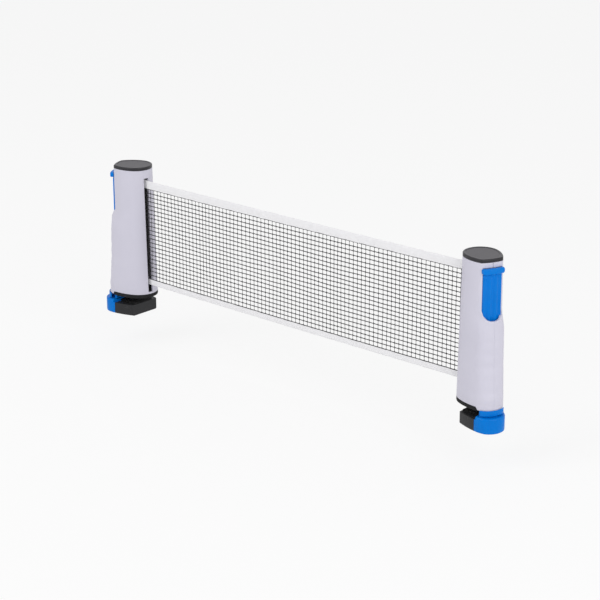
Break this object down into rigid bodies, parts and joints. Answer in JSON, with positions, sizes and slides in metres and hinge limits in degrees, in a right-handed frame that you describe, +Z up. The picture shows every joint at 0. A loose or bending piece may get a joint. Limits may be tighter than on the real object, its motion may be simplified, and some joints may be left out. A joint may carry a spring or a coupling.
{
  "type": "table tennis net clamp",
  "caption": "Retractable table tennis net: mirrored sprung clamp posts joined by a tape-edged net that winds onto a sprung reel in one post.",
  "frame": {"origin": "on the reel post's axis, in the plane of the table top that its rubber base pad rests on", "axes": "+X along the net, from the reel post to the anchor post; +Z up; the net hangs in the plane y = 0"},
  "size_m": [0.6138, 0.0506, 0.192],
  "materials": {
    "shell_plastic": "pale lilac-grey moulded plastic, fine satin grain",
    "cap_plastic": "black satin plastic",
    "slider_plastic": "bright blue satin plastic",
    "pad_rubber": "black rubber",
    "dark_plastic": "dark grey plastic",
    "steel": "plain steel",
    "net_cord": "black knotted cord",
    "tape_cloth": "white woven tape"
  },
  "bodies": {
    "reel_post": {"reel_front_shell": "shell_plastic", "reel_back_shell": "shell_plastic", "reel_top_cap": "cap_plastic", "reel_base_plate": "dark_plastic", "reel_base_pad": "pad_rubber", "reel_spring_seat": "dark_plastic", "reel_clamp_spring": "steel", "reel_lower_shell_screw": "steel", "reel_upper_shell_screw": "steel", "lower_bearing_plate": "dark_plastic", "upper_bearing_plate": "dark_plastic", "lower_bush": "steel", "upper_bush": "steel", "reel_axle": "steel", "return_spring": "steel"},
    "reel": {"spool_tube": "dark_plastic", "spool_lower_flange": "dark_plastic", "spool_upper_flange": "dark_plastic", "wound_net": "net_cord"},
    "reel_clamp": {"reel_clamp_slider": "slider_plastic", "reel_jaw_block": "dark_plastic", "reel_jaw_pad": "pad_rubber"},
    "anchor_post": {"anchor_front_shell": "shell_plastic", "anchor_back_shell": "shell_plastic", "anchor_top_cap": "cap_plastic", "anchor_base_plate": "dark_plastic", "anchor_base_pad": "pad_rubber", "anchor_spring_seat": "dark_plastic", "anchor_clamp_spring": "steel", "anchor_lower_shell_screw": "steel", "anchor_upper_shell_screw": "steel", "net_end_bar": "steel", "lower_bar_plate": "dark_plastic", "upper_bar_plate": "dark_plastic", "net_mesh": "net_cord", "net_top_tape": "tape_cloth", "net_bottom_tape": "tape_cloth"},
    "anchor_clamp": {"anchor_clamp_slider": "slider_plastic", "anchor_jaw_block": "dark_plastic", "anchor_jaw_pad": "pad_rubber"}
  },
  "joints": [
    {"name": "net_pull", "type": "slide", "parent": "reel_post", "child": "anchor_post", "axis": [1, 0, 0], "range_m": [-0.47, 1.2], "deforming": ["net_mesh", "net_top_tape", "net_bottom_tape"]},
    {"name": "reel_turn", "type": "hinge", "parent": "reel_post", "child": "reel", "pos_m": [0.00363, 0.00169, 0.085], "axis": [0, 0, 1], "range_deg": [-2300, 5510]},
    {"name": "reel_clamp_slide", "type": "slide", "parent": "reel_post", "child": "reel_clamp", "axis": [0, 0, -1], "range_m": [-0.007, 0.04], "stiffness_N_per_m": 300, "springref_m": -0.001, "deforming": ["reel_clamp_spring"]},
    {"name": "anchor_clamp_slide", "type": "slide", "parent": "anchor_post", "child": "anchor_clamp", "axis": [0, 0, -1], "range_m": [-0.007, 0.04], "stiffness_N_per_m": 300, "springref_m": -0.001, "deforming": ["anchor_clamp_spring"]}
  ],
  "couplings": [
    {"joint": "reel_turn", "follows": "net_pull", "rad_per_m": 80}
  ]
}
